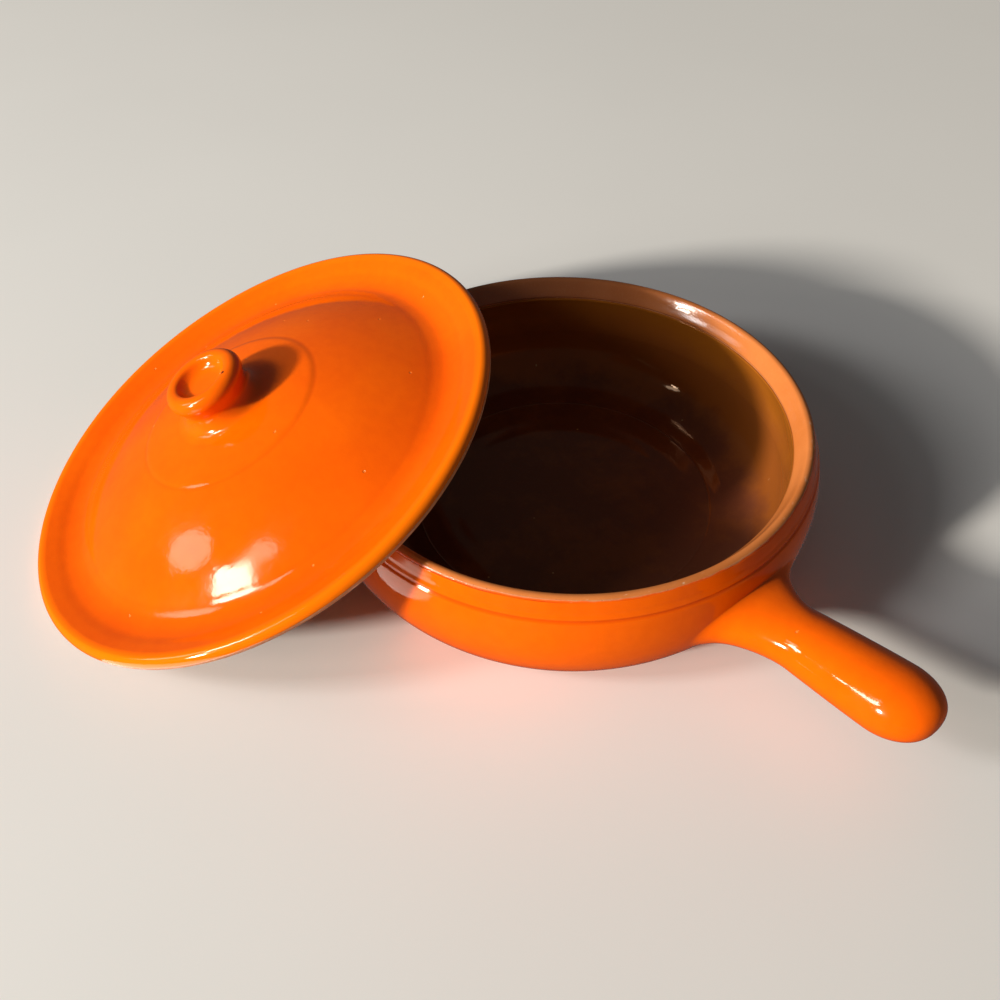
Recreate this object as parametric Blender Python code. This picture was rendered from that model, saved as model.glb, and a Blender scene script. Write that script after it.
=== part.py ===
"""Glazed earthenware skillet with a domed lid, the lid leaning on the pan's rim.

Frame: the origin is the centre of the pan's flat base, +Z is up and the handle points along +X.
Clay pieces are joined with slip before firing, and each coat of glaze is a thin shell over them.
"""
import math

import bmesh
import bpy
from mathutils import Matrix, Vector

MM = 0.001

# Driving dimensions of the pan
BASE_RADIUS = 86.0 * MM        # flat base
BELLY_RADIUS = 116.0 * MM      # widest part of the wall
BELLY_HEIGHT = 38.1 * MM       # height of that above the table
SHOULDER_RADIUS = 114.3 * MM   # where the rim band starts
SHOULDER_HEIGHT = 50.0 * MM
GROOVE_HEIGHT = 51.6 * MM      # turned line round the foot of the rim band
GROOVE_DEPTH = 0.7 * MM
RIM_RADIUS = 110.7 * MM        # outside of the rounded rim
RIM_ROUND = 2.5 * MM           # rounding of the rim's outer edge
PAN_HEIGHT = 61.5 * MM         # base to the top of the rim
SEAT_RADIUS = 102.3 * MM       # inner edge of the slanted seat that takes the lid
SEAT_DROP = 7.7 * MM           # how far the seat falls from the rim to its inner edge
WALL_INSIDE = 103.6 * MM       # inside radius at mid height, slightly undercut below the seat
WALL_FOOT_RADIUS = 102.0 * MM  # inside radius where the wall meets the rounded corner
FLOOR_ROUND = 24.5 * MM        # inside corner between wall and floor
FLOOR_HEIGHT = 7.5 * MM        # inside floor above the table

GLAZE = 0.6 * MM               # thickness of a coat
GAP = 0.3 * MM                 # clearance between neighbouring solids
BARE_FOOT_ANGLE = 17.0         # the outer coat stops here on the bottom curve, in degrees
FOOT_STEP_ANGLE = 3.0          # bare clay ends this much below it, in degrees
RIM_BARE_ANGLE = 22.0          # the outer coat stops here on the rim's rounding, in degrees

# Driving dimensions of the handle
HANDLE_WALL = 115.2 * MM       # wall radius where the handle joins it
HANDLE_HEIGHT = 28.5 * MM      # handle axis above the table, at the wall
HANDLE_RISE = 0.121            # slope of the handle axis
HANDLE_TIP = 201.5 * MM        # from the pan's centre to the end of the handle
HANDLE_END_ROUND = 20.0 * MM   # length of the rounded end
HANDLE_NECK = 12.8 * MM        # half width at the wall, without the flare
HANDLE_GRIP = 16.7 * MM        # half width near the end
HANDLE_SWELL = 1.26            # how early the neck widens into the grip
HANDLE_BLUNTNESS = 0.83        # 1 is an elliptical end, less is blunter
HANDLE_FLATNESS = 0.812        # half height over half width
FLARE_LENGTH = (23.6 * MM, 38.2 * MM)   # root fillet along the handle, on its +Y and -Y sides
FLARE_WIDTH = (35.1 * MM, 26.0 * MM)    # and along the wall, on the same sides
FLARE_ABOVE = 5.0 * MM         # along the wall, upwards
FLARE_BELOW = 7.8 * MM         # and downwards
FLARE_FULLNESS = 0.8           # 1 is an elliptical fillet, less is fuller
FLARE_SINK = 0.8 * MM          # the fillet starts this far behind the wall's surface
HANDLE_ROOT = 88.0 * MM        # the plain root ends here, well behind the wall

# Driving dimensions of the lid, in its own frame with Z = 0 at the middle of its lip
LID_RADIUS = 119.0 * MM        # outermost radius of the lip
LIP_ROUND = 3.5 * MM           # half thickness of the lip
CHANNEL_DEPTH = 1.6 * MM       # hollow of the flange
DOME_FOOT = 90.9 * MM          # where the dome rises from the flange
DOME_CURVE = 180.6 * MM        # radius of curvature of the dome
DOME_CENTRE = -155.3 * MM      # height of that centre
LID_WALL = 6.5 * MM            # thickness of the dome
RING_RADIUS = 98.2 * MM        # middle of the locating ring under the flange
RING_DROP = 11.3 * MM          # depth of that ring's lowest point
STEP_RADIUS = 43.2 * MM        # turned line on the dome
STEP_RISE = 0.35 * MM
KNOB_FOOT = 20.6 * MM
KNOB_WAIST = 16.3 * MM
KNOB_RADIUS = 18.5 * MM
KNOB_ROLL = 4.3 * MM           # rounding of the knob's disc
KNOB_TOP = 42.6 * MM
DISH_FLOOR = 37.6 * MM         # bottom of the dished top

# Where the lid lies: its centre, and the way its axis leans
LID_DISTANCE = 143.7 * MM      # from the pan's axis
LID_DIRECTION = -128.56        # of that centre, in degrees from the handle
LID_TILT = 24.15               # of the lid's axis from upright
LID_LEAN_DIRECTION = -120.54   # the way the axis leans
LID_GROUND_CLEARANCE = 0.2 * MM

SIDES = 36                     # facets round the pan and the lid
HANDLE_SIDES = 24


def point(radius_mm, height_mm):
    return Vector((radius_mm * MM, height_mm * MM))


def arc(centre, radius, start, end, steps):
    """Points on an arc in the (radius, height) plane, with its angles in degrees."""
    points = []
    for i in range(steps + 1):
        angle = math.radians(start + (end - start) * i / steps)
        points.append(Vector((centre[0] + radius * math.cos(angle), centre[1] + radius * math.sin(angle))))
    return points


def left_normal(start, end):
    step = (end - start).normalized()
    return Vector((-step.y, step.x))


def inset(profile, distance):
    """Moves a profile to its left, which is into the clay on every profile here."""
    moved = []
    for i, here in enumerate(profile):
        before = left_normal(profile[max(i - 1, 0)], profile[max(i, 1)])
        after = left_normal(profile[min(i, len(profile) - 2)], profile[min(i + 1, len(profile) - 1)])
        mean = (before + after).normalized()
        moved.append(here + mean * (distance / mean.dot(after)))
    return moved


def on_axis(profile):
    """Brings the last point exactly onto the axis of revolution."""
    return profile[:-1] + [Vector((0.0, profile[-1].y))]


def material(name, colour, roughness):
    made = bpy.data.materials.new(name)
    made.use_nodes = True
    shader = made.node_tree.nodes["Principled BSDF"]
    shader.inputs["Base Color"].default_value = (*colour, 1.0)
    shader.inputs["Roughness"].default_value = roughness
    shader.inputs["Metallic"].default_value = 0.0
    made.diffuse_color = (*colour, 1.0)
    return made


def add_object(name, mesh_source, finish):
    """Turns a bmesh into a smooth-shaded object."""
    bmesh.ops.remove_doubles(mesh_source, verts=mesh_source.verts, dist=1e-6)
    bmesh.ops.recalc_face_normals(mesh_source, faces=mesh_source.faces)
    mesh = bpy.data.meshes.new(name)
    mesh_source.to_mesh(mesh)
    mesh_source.free()
    mesh.shade_smooth()
    mesh.set_sharp_from_angle(angle=math.radians(40.0))
    made = bpy.data.objects.new(name, mesh)
    made.data.materials.append(finish)
    bpy.context.scene.collection.objects.link(made)
    return made


def lathe(name, profile, closed, sides, finish):
    """Turns a profile round Z. An open profile starts and ends on the axis."""
    turned = bmesh.new()
    verts = [turned.verts.new((p.x, 0.0, p.y)) for p in profile]
    edges = [turned.edges.new(pair) for pair in zip(verts, verts[1:])]
    if closed:
        edges.append(turned.edges.new((verts[-1], verts[0])))
    bmesh.ops.spin(turned, geom=verts + edges, cent=(0.0, 0.0, 0.0), axis=(0.0, 0.0, 1.0),
                   angle=math.tau, steps=sides, use_merge=True)
    return add_object(name, turned, finish)


# ---------------------------------------------------------------- bowl

def bottom_curve(start, end, steps):
    """Points on the quarter ellipse from the flat base up to the belly, with its angles in degrees."""
    points = []
    for i in range(steps + 1):
        angle = math.radians(start + (end - start) * i / steps)
        radius = BASE_RADIUS + (BELLY_RADIUS - BASE_RADIUS) * math.sin(angle)
        points.append(Vector((radius, BELLY_HEIGHT * (1.0 - math.cos(angle)))))
    return points


def wall_radius(height):
    """Outside radius of the wall below the rim band."""
    if height < BELLY_HEIGHT:
        rise = 1.0 - height / BELLY_HEIGHT
        return BASE_RADIUS + (BELLY_RADIUS - BASE_RADIUS) * math.sqrt(1.0 - rise * rise)
    along = min((height - BELLY_HEIGHT) / (SHOULDER_HEIGHT - BELLY_HEIGHT), 1.0)
    return BELLY_RADIUS - (BELLY_RADIUS - SHOULDER_RADIUS) * along * along


def rim_edge():
    """The rim's rounded outer edge, up and inwards from where the outer coat stops."""
    centre = (RIM_RADIUS - RIM_ROUND, PAN_HEIGHT - RIM_ROUND)
    return arc(centre, RIM_ROUND, RIM_BARE_ANGLE, 90.0, 3)


def wall_outside():
    """Glazed outside going up: bottom curve, belly, shoulder, turned groove and rim band."""
    low = bottom_curve(BARE_FOOT_ANGLE, 90.0, 7)
    middle = 0.5 * (BELLY_HEIGHT + SHOULDER_HEIGHT)
    mid_belly = Vector((wall_radius(middle), middle))
    shoulder = Vector((SHOULDER_RADIUS, SHOULDER_HEIGHT))
    band_top = rim_edge()[0] - Vector((0.0, GAP))
    band = band_top - shoulder
    groove = []
    for offset, depth in ((-0.8 * MM, 0.0), (0.0, GROOVE_DEPTH), (0.8 * MM, 0.0)):
        along = (GROOVE_HEIGHT + offset - shoulder.y) / band.y
        groove.append(shoulder + band * along - Vector((depth, 0.0)))
    return low + [mid_belly, shoulder] + groove + [band_top]


def rim_bare():
    """Bare clay: the rounded outer edge, the top and the slanted seat, going inwards."""
    seat_start = Vector((RIM_RADIUS - RIM_ROUND - 1.2 * MM, PAN_HEIGHT - 0.4 * MM))
    seat_end = Vector((SEAT_RADIUS, PAN_HEIGHT - SEAT_DROP))
    hollow = seat_start.lerp(seat_end, 0.5) + Vector((-0.25 * MM, -0.35 * MM))
    return rim_edge() + [seat_start, hollow, seat_end]


def cavity():
    """Glazed inside: wall, inside corner and floor, going down and in to the axis."""
    top = Vector((SEAT_RADIUS - 0.2 * MM, PAN_HEIGHT - SEAT_DROP - 1.2 * MM))
    middle = Vector((WALL_INSIDE, BELLY_HEIGHT + 3.0 * MM))
    corner_centre = (WALL_FOOT_RADIUS - FLOOR_ROUND, FLOOR_HEIGHT + FLOOR_ROUND)
    corner = arc(corner_centre, FLOOR_ROUND, 0.0, -90.0, 5)
    return [top, middle] + corner + [Vector((0.0, FLOOR_HEIGHT - 0.4 * MM))]


def make_bowl(clay):
    foot = [Vector((0.0, 0.0))] + bottom_curve(0.0, BARE_FOOT_ANGLE - FOOT_STEP_ANGLE, 2)
    outside = inset(wall_outside(), GLAZE + GAP)
    ledge = [Vector((outside[-1].x, rim_edge()[0].y))]
    inside = on_axis(inset(cavity(), GLAZE + GAP))
    return lathe("bowl", foot + outside + ledge + rim_bare() + inside, False, SIDES, clay)


def make_inner_glaze(brown):
    surface = cavity()
    surface[0].y -= GAP
    backing = on_axis(inset(surface, GLAZE))
    return lathe("bowl_inner_glaze", surface[::-1] + backing, False, SIDES, brown)


def solid_within(name, profile, finish):
    """A plain turned solid filling everything inside an outer profile."""
    closed_off = [Vector((0.0, profile[0].y))] + profile + [Vector((0.0, profile[-1].y))]
    return lathe(name, closed_off, False, SIDES, finish)


# ---------------------------------------------------------------- handle

def handle_half_width(x):
    """Plain half width of the grip: a neck that swells towards the end."""
    start = HANDLE_WALL + 4.0 * MM
    along = min(max((x - start) / (HANDLE_TIP - HANDLE_END_ROUND - start), 0.0), 1.0)
    return HANDLE_NECK + (HANDLE_GRIP - HANDLE_NECK) * (1.0 - (1.0 - along) ** HANDLE_SWELL)


def handle_point(x, side, tall, turn):
    """A point at a turn round the handle's axis, with 0 towards +Y and the half width and height given."""
    axis_height = HANDLE_HEIGHT + HANDLE_RISE * (x - HANDLE_WALL)
    return Vector((x, side * math.cos(turn), axis_height + tall * math.sin(turn)))


def flare_line(turn):
    """The root's outline in one direction round the axis: the plain root, then the fillet."""
    towards = 0.5 + 0.5 * math.cos(turn)
    length = FLARE_LENGTH[1] + (FLARE_LENGTH[0] - FLARE_LENGTH[1]) * towards
    width = FLARE_WIDTH[1] + (FLARE_WIDTH[0] - FLARE_WIDTH[1]) * towards
    rise = FLARE_ABOVE if turn < math.pi else FLARE_BELOW
    neck = handle_half_width(HANDLE_WALL)
    start = HANDLE_WALL
    for _ in range(3):
        foot = handle_point(start, neck + width, neck * HANDLE_FLATNESS + rise, turn)
        start = math.sqrt(wall_radius(foot.z) ** 2 - foot.y ** 2) - FLARE_SINK
    line = [handle_point(HANDLE_ROOT, neck + width, neck * HANDLE_FLATNESS + rise, turn)]
    for i in range(6):
        bend = 0.5 * math.pi * i / 5
        x = start + length * (1.0 - math.cos(bend))
        spread = (1.0 - math.sin(bend)) ** FLARE_FULLNESS
        half = handle_half_width(x)
        line.append(handle_point(x, half + width * spread, half * HANDLE_FLATNESS + rise * spread, turn))
    return line


def grip_line(turn):
    """The rest of the handle's outline in that direction, up to the last ring before the tip."""
    start = HANDLE_WALL + max(FLARE_LENGTH)
    end = HANDLE_TIP - HANDLE_END_ROUND
    line = []
    for i in range(1, 4):
        x = start + (end - start) * i / 3
        half = handle_half_width(x)
        line.append(handle_point(x, half, half * HANDLE_FLATNESS, turn))
    for degrees in (25.0, 45.0, 62.0, 76.0):
        bend = math.radians(degrees)
        half = HANDLE_GRIP * math.cos(bend) ** HANDLE_BLUNTNESS
        x = HANDLE_TIP - HANDLE_END_ROUND * (1.0 - math.sin(bend))
        line.append(handle_point(x, half, half * HANDLE_FLATNESS, turn))
    return line


def handle_solid(name, shrink, finish):
    """The handle's outer form, shrunk evenly by a distance."""
    form = bmesh.new()
    lines = []
    for i in range(HANDLE_SIDES):
        turn = math.tau * i / HANDLE_SIDES
        lines.append([form.verts.new(p) for p in flare_line(turn) + grip_line(turn)])
    tip = form.verts.new(handle_point(HANDLE_TIP, 0.0, 0.0, 0.0))
    for here, beside in zip(lines, lines[1:] + lines[:1]):
        for k in range(len(here) - 1):
            form.faces.new((here[k], beside[k], beside[k + 1]))
            form.faces.new((here[k], beside[k + 1], here[k + 1]))
        form.faces.new((here[-1], beside[-1], tip))
    form.normal_update()
    inward = [v.normal * (-shrink * v.calc_shell_factor()) for v in form.verts]
    for vert, move in zip(form.verts, inward):
        vert.co += move
    form.faces.new([line[0] for line in reversed(lines)])
    return add_object(name, form, finish)


def as_cutter(cutter):
    cutter.hide_render = True
    cutter.display_type = "WIRE"
    return cutter


def combine(target, other, operation):
    """Adds a Boolean that joins or cuts the target with the other object."""
    as_cutter(other)
    modifier = target.modifiers.new(operation.lower(), "BOOLEAN")
    modifier.operation = operation
    modifier.solver = "EXACT"
    modifier.object = other


def make_handle(clay):
    """Clay handle, ending just outside the bowl's clay."""
    handle = handle_solid("handle", GLAZE + GAP, clay)
    combine(handle, solid_within("handle_root_cutter", inset(wall_outside(), GLAZE), clay), "DIFFERENCE")
    return handle


def make_outer_glaze(orange):
    """One coat over the bowl's outside and the handle, open where the clay handle passes through."""
    surface = wall_outside()
    coat = lathe("pan_outer_glaze", surface + inset(surface, GLAZE)[::-1], True, SIDES, orange)
    sleeve = handle_solid("sleeve_form", 0.0, orange)
    combine(sleeve, solid_within("sleeve_root_cutter", inset(surface, GLAZE * 0.5), orange), "DIFFERENCE")
    combine(coat, sleeve, "UNION")
    combine(coat, handle_solid("sleeve_core", GLAZE, orange), "DIFFERENCE")
    return coat


# ---------------------------------------------------------------- lid

def dome_height(radius, thickness):
    """Height of the dome at a radius, that far inside its outer surface."""
    return DOME_CENTRE + math.sqrt((DOME_CURVE - thickness) ** 2 - radius ** 2)


def lid_top_skirt():
    """Glazed top from the lip's outermost point in to the foot of the knob."""
    lip = arc((LID_RADIUS - LIP_ROUND, 0.0), LIP_ROUND, 0.0, 90.0, 3)
    flange = [point(109.0, 1.6), point(104.5, -0.8), point(99.0, -CHANNEL_DEPTH / MM), point(93.5, -1.1)]
    foot = [Vector((DOME_FOOT, 0.5 * MM))]
    dome = []
    for radius in (78.0 * MM, 61.0 * MM, STEP_RADIUS + 0.6 * MM):
        dome.append(Vector((radius, dome_height(radius, 0.0))))
    step_top = Vector((STEP_RADIUS - 0.6 * MM, dome_height(STEP_RADIUS, 0.0) + STEP_RISE))
    collar = Vector((30.0 * MM, dome_height(30.0 * MM, 0.0) + 0.2 * MM))
    return lip + flange + foot + dome + [step_top, collar]


def knob_surface():
    """Glazed knob from its foot, round its disc and down into the dished top."""
    foot = Vector((KNOB_FOOT, dome_height(KNOB_FOOT, 0.0) + 0.3 * MM))
    flare = Vector((KNOB_FOOT - 2.6 * MM, foot.y + 2.2 * MM))
    waist = Vector((KNOB_WAIST, foot.y + 6.0 * MM))
    disc = arc((KNOB_RADIUS - KNOB_ROLL, KNOB_TOP - KNOB_ROLL), KNOB_ROLL, -40.0, 125.0, 5)
    dish = [Vector((10.2 * MM, DISH_FLOOR + 1.6 * MM)), Vector((7.4 * MM, DISH_FLOOR + 0.2 * MM))]
    return [foot, flare, waist] + disc + dish + [Vector((0.0, DISH_FLOOR))]


def lid_edge_bare():
    """Bare clay under the lip and over the locating ring, going out from under the dome."""
    ring = [point(93.0, -8.4), Vector((RING_RADIUS - 2.4 * MM, -RING_DROP + 0.6 * MM)),
            Vector((RING_RADIUS, -RING_DROP)), point(100.9, -10.5), point(104.6, -7.4), point(108.6, -4.2)]
    lip = arc((LID_RADIUS - LIP_ROUND, 0.0), LIP_ROUND, -90.0, -8.0, 3)
    return ring + lip


def lid_under():
    """Glazed underside of the dome, going out from the axis."""
    under = []
    for radius in (0.0, 22.0, 44.0, 64.0, 82.0, 91.0):
        under.append(Vector((radius * MM, dome_height(radius * MM, LID_WALL))))
    return under


def make_lid(clay):
    """Clay shell of the lid: a closed loop that reaches the axis above and below."""
    under = inset(lid_under(), GLAZE + GAP)
    under[0] = Vector((0.0, under[0].y))
    top = inset(lid_top_skirt(), GLAZE + GAP)
    crown_height = dome_height(0.0, GLAZE + GAP)
    ledge = [Vector((top[0].x, -GAP))]
    middle = [Vector((KNOB_FOOT, dome_height(KNOB_FOOT, GLAZE + GAP))), Vector((0.0, crown_height))]
    return lathe("lid", under + lid_edge_bare() + ledge + top + middle, False, SIDES, clay)


def make_knob(clay):
    """Solid clay knob, standing just clear of the lid's crown."""
    outside = on_axis(inset(knob_surface(), GLAZE + GAP))
    bottom = [Vector((0.0, dome_height(0.0, GLAZE + GAP) + GAP))]
    bottom.append(Vector((outside[0].x, dome_height(outside[0].x, GLAZE + GAP) + GAP)))
    return lathe("knob", bottom + outside[1:], False, SIDES, clay)


def make_lid_top_glaze(orange):
    surface = lid_top_skirt() + knob_surface()
    backing = on_axis(inset(surface, GLAZE))
    return lathe("lid_top_glaze", backing[::-1] + surface, False, SIDES, orange)


def make_lid_under_glaze(brown):
    surface = lid_under()
    backing = inset(surface, GLAZE)
    backing[0] = Vector((0.0, backing[0].y))
    return lathe("lid_under_glaze", surface + backing[::-1], False, SIDES, brown)


def lid_resting_place():
    """World matrix of the lid: leaning on the rim, with its lowest edge just off the table."""
    lean = Matrix.Rotation(math.radians(LID_LEAN_DIRECTION), 4, "Z")
    tilt = Matrix.Rotation(math.radians(LID_TILT), 4, "Y")
    rotation = lean @ tilt @ lean.inverted()
    drop = (LID_RADIUS - LIP_ROUND) * math.sin(math.radians(LID_TILT)) + LIP_ROUND
    direction = math.radians(LID_DIRECTION)
    centre = Vector((LID_DISTANCE * math.cos(direction), LID_DISTANCE * math.sin(direction),
                     drop + LID_GROUND_CLEARANCE))
    return Matrix.Translation(centre) @ rotation


def main():
    for old in list(bpy.data.objects):
        bpy.data.objects.remove(old)
    clay = material("terracotta", (0.60, 0.24, 0.12), 0.75)
    orange = material("orange_glaze", (0.90, 0.15, 0.01), 0.12)
    brown = material("brown_glaze", (0.075, 0.018, 0.008), 0.12)
    make_bowl(clay)
    make_handle(clay)
    make_inner_glaze(brown)
    make_outer_glaze(orange)
    place = bpy.data.objects.new("lid_place", None)
    place.matrix_world = lid_resting_place()
    bpy.context.scene.collection.objects.link(place)
    for piece in (make_lid(clay), make_knob(clay), make_lid_top_glaze(orange), make_lid_under_glaze(brown)):
        piece.parent = place
    bpy.context.view_layer.update()


main()
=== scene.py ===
"""Looks for the glazed earthenware skillet: its coats of glaze, its clay and its studio.

Every length is in millimetres up to the last step of each mesh, where MM turns it into metres.
The shapes are the CAD model's own curves, drawn finer and with the marks of hand and kiln.
"""
import math

import bmesh
import bpy
import numpy as np
from mathutils import Matrix, Quaternion, Vector


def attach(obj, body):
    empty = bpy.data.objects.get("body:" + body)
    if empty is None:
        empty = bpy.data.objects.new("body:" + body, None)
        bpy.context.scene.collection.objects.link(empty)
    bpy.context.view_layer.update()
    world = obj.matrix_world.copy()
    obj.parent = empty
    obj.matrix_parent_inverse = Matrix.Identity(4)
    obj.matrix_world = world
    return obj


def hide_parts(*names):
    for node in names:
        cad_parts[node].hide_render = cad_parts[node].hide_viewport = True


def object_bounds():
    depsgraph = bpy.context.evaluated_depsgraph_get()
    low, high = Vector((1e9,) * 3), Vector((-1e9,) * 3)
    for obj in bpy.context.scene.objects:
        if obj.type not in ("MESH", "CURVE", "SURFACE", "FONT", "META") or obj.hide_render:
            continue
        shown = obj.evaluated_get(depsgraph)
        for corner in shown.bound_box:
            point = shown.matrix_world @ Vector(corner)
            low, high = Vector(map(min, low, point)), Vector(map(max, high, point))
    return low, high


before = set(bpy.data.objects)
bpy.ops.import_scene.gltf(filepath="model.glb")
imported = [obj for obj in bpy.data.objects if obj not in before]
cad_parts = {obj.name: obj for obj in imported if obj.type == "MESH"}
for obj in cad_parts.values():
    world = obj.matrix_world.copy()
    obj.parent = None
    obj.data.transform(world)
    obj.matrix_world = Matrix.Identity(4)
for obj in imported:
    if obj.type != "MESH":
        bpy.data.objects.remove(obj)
cad_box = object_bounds()

MM = 0.001
GLAZE = 0.6              # thickness of a coat
CLAY_GAP = 0.2           # from a coat to the clay under it

# ---- pan, as in the CAD model
BASE_RADIUS, BELLY_RADIUS, BELLY_HEIGHT = 86.0, 116.0, 38.1
SHOULDER_RADIUS, SHOULDER_HEIGHT = 114.3, 50.0
GROOVE_HEIGHT, GROOVE_DEPTH, GROOVE_HALF = 51.6, 0.45, 1.1
SECOND_LINE, SECOND_DEPTH, SECOND_HALF = 54.6, 0.14, 1.7   # a shallower turned line in the band
RIM_RADIUS, RIM_ROUND, PAN_HEIGHT = 110.7, 2.5, 61.5
SEAT_RADIUS, SEAT_DROP = 102.3, 7.7
WALL_INSIDE, WALL_FOOT_RADIUS, FLOOR_ROUND, FLOOR_HEIGHT = 103.6, 102.0, 24.5, 7.5
BARE_FOOT_ANGLE, RIM_BARE_ANGLE = 17.0, 22.0
FLOOR_RING = 70.8        # a fine turned line on the inside floor

# ---- handle, as in the CAD model
HANDLE_WALL, HANDLE_HEIGHT, HANDLE_RISE, HANDLE_TIP = 115.2, 28.5, 0.121, 201.5
HANDLE_END_ROUND, HANDLE_NECK, HANDLE_GRIP = 20.0, 12.8, 16.7
HANDLE_SWELL, HANDLE_BLUNTNESS, HANDLE_FLATNESS = 1.26, 0.83, 0.812
FLARE_LENGTH, FLARE_WIDTH = (23.6, 38.2), (35.1, 26.0)   # towards +Y, towards -Y
FLARE_ABOVE, FLARE_BELOW, FLARE_FULLNESS = 5.0, 7.8, 0.8
FLARE_SINK = 0.8         # the flare starts this far behind the wall's surface
ROOT_BLEND = 5.0         # softness of the corner where the flare leaves the wall
PATCH_COLUMNS = (-22, 26)     # columns of the wall that give way to the handle's patch
PATCH_HEIGHTS = (4.6, 48.0)   # between these heights
PATCH_OVAL = (43.0, 17.0)     # half width and half height of the oval that spreads its lines

# ---- lid, in its own frame, as in the CAD model
LID_RADIUS, LIP_ROUND = 119.0, 3.5
DOME_CURVE, DOME_CENTRE, LID_WALL = 180.6, -155.3, 6.5
RING_RADIUS, RING_DROP, STEP_RADIUS, STEP_RISE = 98.2, 11.3, 43.2, 0.35
KNOB_FOOT, KNOB_WAIST, KNOB_RADIUS, KNOB_ROLL = 20.6, 16.3, 18.5, 4.3
KNOB_TOP, DISH_FLOOR = 42.6, 37.6
LID_DISTANCE, LID_DIRECTION, LID_TILT, LID_LEAN_DIRECTION = 143.7, -128.56, 24.15, -120.54
LID_GROUND_CLEARANCE = 0.2     # under the lip, before its waver
UNDERGLAZE_EDGE = 91.2   # radius where the glaze under the dome ends and the bare ring starts

# ---- sides of the turned pieces; the bare rims are finer, for their chips
PAN_SIDES, RIM_SIDES = 288, 900
LID_SIDES, LID_CLAY_SIDES = 288, 480

# ---- worn places round the rim: degrees from the handle, half width in degrees, amount
RIM_WEAR = ((32.0, 26.0, 0.75), (-13.0, 4.0, 0.7), (-71.0, 4.0, 0.35), (-42.0, 1.2, 0.3))
SEAT_SHADE_ANGLE, SEAT_SHADE_HALF = 150.0, 62.0   # painted shade: the angle where it darkens the seat's wash most, and how wide
WASH_FROM, WASH_RADII = 53.2, (102.0, 109.8)   # the washed seat: lowest height, and its radii
SEAT_EDGE_SHADE_HEIGHT, SEAT_EDGE_SHADE_HALF = 53.3, 0.35  # painted shade: a dark line under the seat's inner edge, where the wash meets the brown coat
CHIP_RADIUS, CHIP_HALF = 109.3, 0.8            # the rim's chips, on its outer edge
LIP_CHIP_RADIUS, LIP_CHIP_HALF = 118.0, 1.2    # the lid's chips, on the lower edge of its lip
COAT_TOP_FROM, COAT_FOOT_FROM = 57.6, 4.0      # the orange coat's ends waver past these heights


# ---------------------------------------------------------------- curves

def arc(centre, radius, start, end, steps):
    """Points along an arc, from one angle in degrees to another."""
    angles = np.radians(np.linspace(start, end, steps + 1))
    return np.stack([centre[0] + radius * np.cos(angles), centre[1] + radius * np.sin(angles)], 1)


def through(points, spacing=0.8):
    """A smooth line through points: a centripetal Catmull-Rom spline cut into short steps."""
    points = np.asarray(points, float)
    padded = np.vstack([2 * points[0] - points[1], points, 2 * points[-1] - points[-2]])
    line = [points[0]]
    for a, b, c, d in zip(padded, padded[1:], padded[2:], padded[3:]):
        gaps = [math.sqrt(np.linalg.norm(q - p)) for p, q in ((a, b), (b, c), (c, d))]
        knots = np.cumsum([0.0] + gaps)
        steps = max(int(np.linalg.norm(c - b) / spacing), 1)
        t = np.linspace(knots[1], knots[2], steps + 1)[1:, None]
        one = (a * (knots[1] - t) + b * t) / knots[1]
        two = (b * (knots[2] - t) + c * (t - knots[1])) / (knots[2] - knots[1])
        three = (c * (knots[3] - t) + d * (t - knots[2])) / (knots[3] - knots[2])
        left = (one * (knots[2] - t) + two * t) / knots[2]
        right = (two * (knots[3] - t) + three * (t - knots[1])) / (knots[3] - knots[1])
        line.extend((left * (knots[2] - t) + right * (t - knots[1])) / (knots[2] - knots[1]))
    return np.array(line)


def inset(profile, distance):
    """Moves a profile to its left by a distance."""
    step = np.gradient(profile, axis=0)
    step /= np.linalg.norm(step, axis=1)[:, None]
    return profile + np.stack([-step[:, 1], step[:, 0]], 1) * distance


def hollow_of(profile):
    """How sharply a profile bends inwards at each point, from 0 to 1: where glaze pools."""
    step = np.gradient(profile, axis=0)
    turning = np.gradient(np.unwrap(np.arctan2(step[:, 1], step[:, 0])))
    length = np.linalg.norm(step, axis=1)
    return np.clip(-turning / np.maximum(length, 1e-6) * 2.5, 0.0, 1.0)


def waver(angle, seed, lowest, highest):
    """A smooth closed wave round the turn, about 1 at its peaks."""
    random = np.random.default_rng(seed)
    total = np.zeros_like(angle)
    for count in range(lowest, highest + 1):
        total += random.normal() * np.cos(count * angle + random.uniform(0, math.tau)) / math.sqrt(count)
    return total / max(np.abs(total).max(), 1e-9)


def speckle(shape, seed, softness):
    """A soft random field over (rows, angles), wrapped round the turn, from 0 to 1."""
    field = np.random.default_rng(seed).random(shape)
    for _ in range(softness):
        field = (np.roll(field, 1, 1) + 2 * field + np.roll(field, -1, 1)) / 4
        up = np.vstack([field[:1], field[:-1]])
        down = np.vstack([field[1:], field[-1:]])
        field = (up + 2 * field + down) / 4
    return (field - field.min()) / (field.max() - field.min())


# ---------------------------------------------------------------- meshes

def add_mesh(name, points, faces, masks, finish):
    """A smooth-shaded object from points in millimetres, with masks stored on its vertices."""
    mesh = bpy.data.meshes.new(name)
    mesh.from_pydata((np.asarray(points) * MM).tolist(), [], faces)
    for label, values in masks.items():
        attribute = mesh.attributes.new(label, "FLOAT", "POINT")
        attribute.data.foreach_set("value", np.asarray(values, np.float32))
    mesh.shade_smooth()
    mesh.validate()
    mesh.update()
    made = bpy.data.objects.new(name, mesh)
    made.data.materials.append(finish)
    bpy.context.scene.collection.objects.link(made)
    return made


def grid_faces(rows, sides):
    """Quads between rings of vertices."""
    faces = []
    for k in range(rows - 1):
        here, above = k * sides, (k + 1) * sides
        for i in range(sides):
            j = (i + 1) % sides
            faces.append((here + i, here + j, above + j, above + i))
    return faces


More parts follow.
